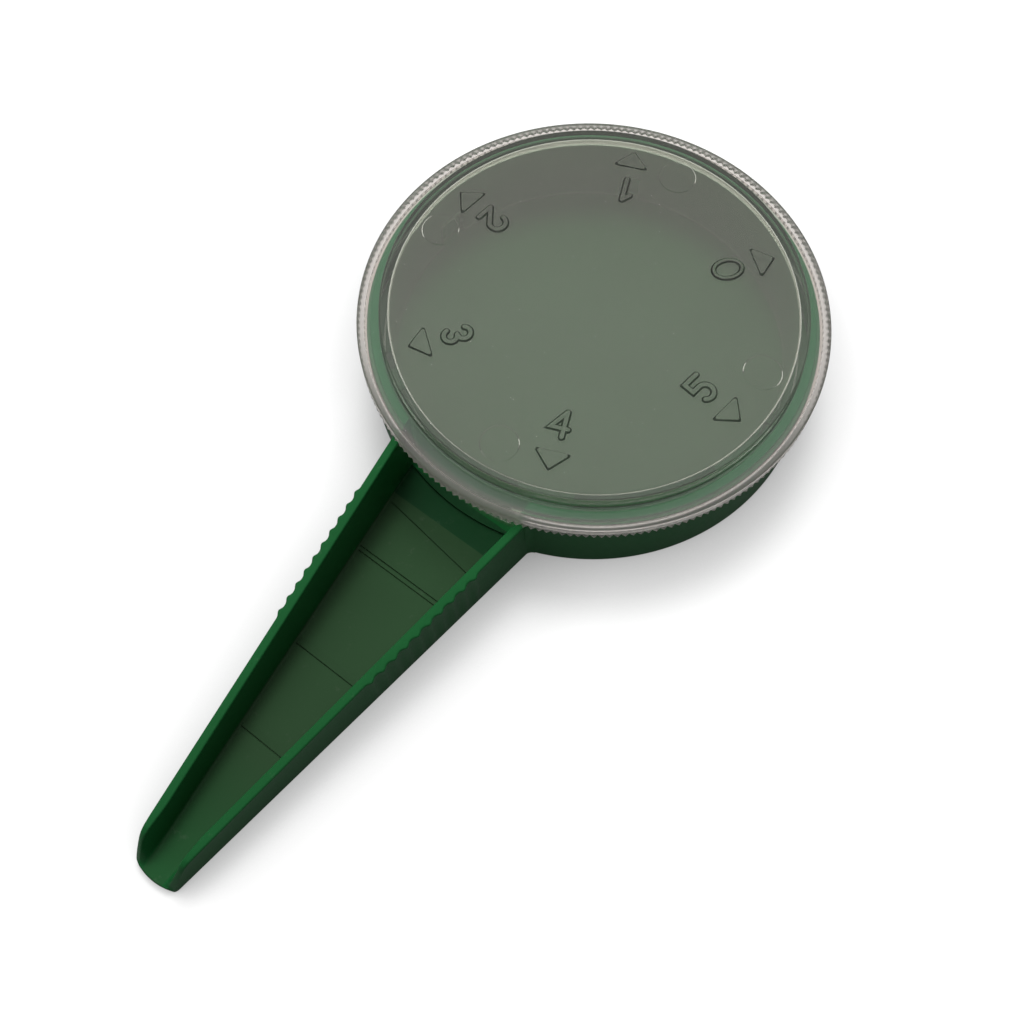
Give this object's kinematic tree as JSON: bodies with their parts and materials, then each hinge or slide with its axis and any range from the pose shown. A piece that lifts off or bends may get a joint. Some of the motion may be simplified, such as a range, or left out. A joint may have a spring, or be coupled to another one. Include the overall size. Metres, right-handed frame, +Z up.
{
  "type": "dial seed sower",
  "caption": "Hand seed sower: a round dish with an open tapering chute as its handle, under a clear numbered dial lid whose gates set how fast seeds leave.",
  "frame": {"origin": "on the axis of the dish, at the flat underside that the sower rests on", "axes": "+Z up along the axis that the dial turns on, -Y along the chute towards its tip"},
  "size_m": [0.085, 0.1631, 0.0207],
  "materials": {
    "green_plastic": "moulded, satin gloss",
    "clear_plastic": "clear, glossy"
  },
  "bodies": {
    "sower_body": {"body": "green_plastic"},
    "dial": {"dial_lid": "clear_plastic"}
  },
  "joints": [
    {"name": "dial_turn", "type": "hinge", "parent": "sower_body", "child": "dial", "pos_m": [0, 0, 0], "axis": [0, 0, 1], "continuous": true}
  ]
}
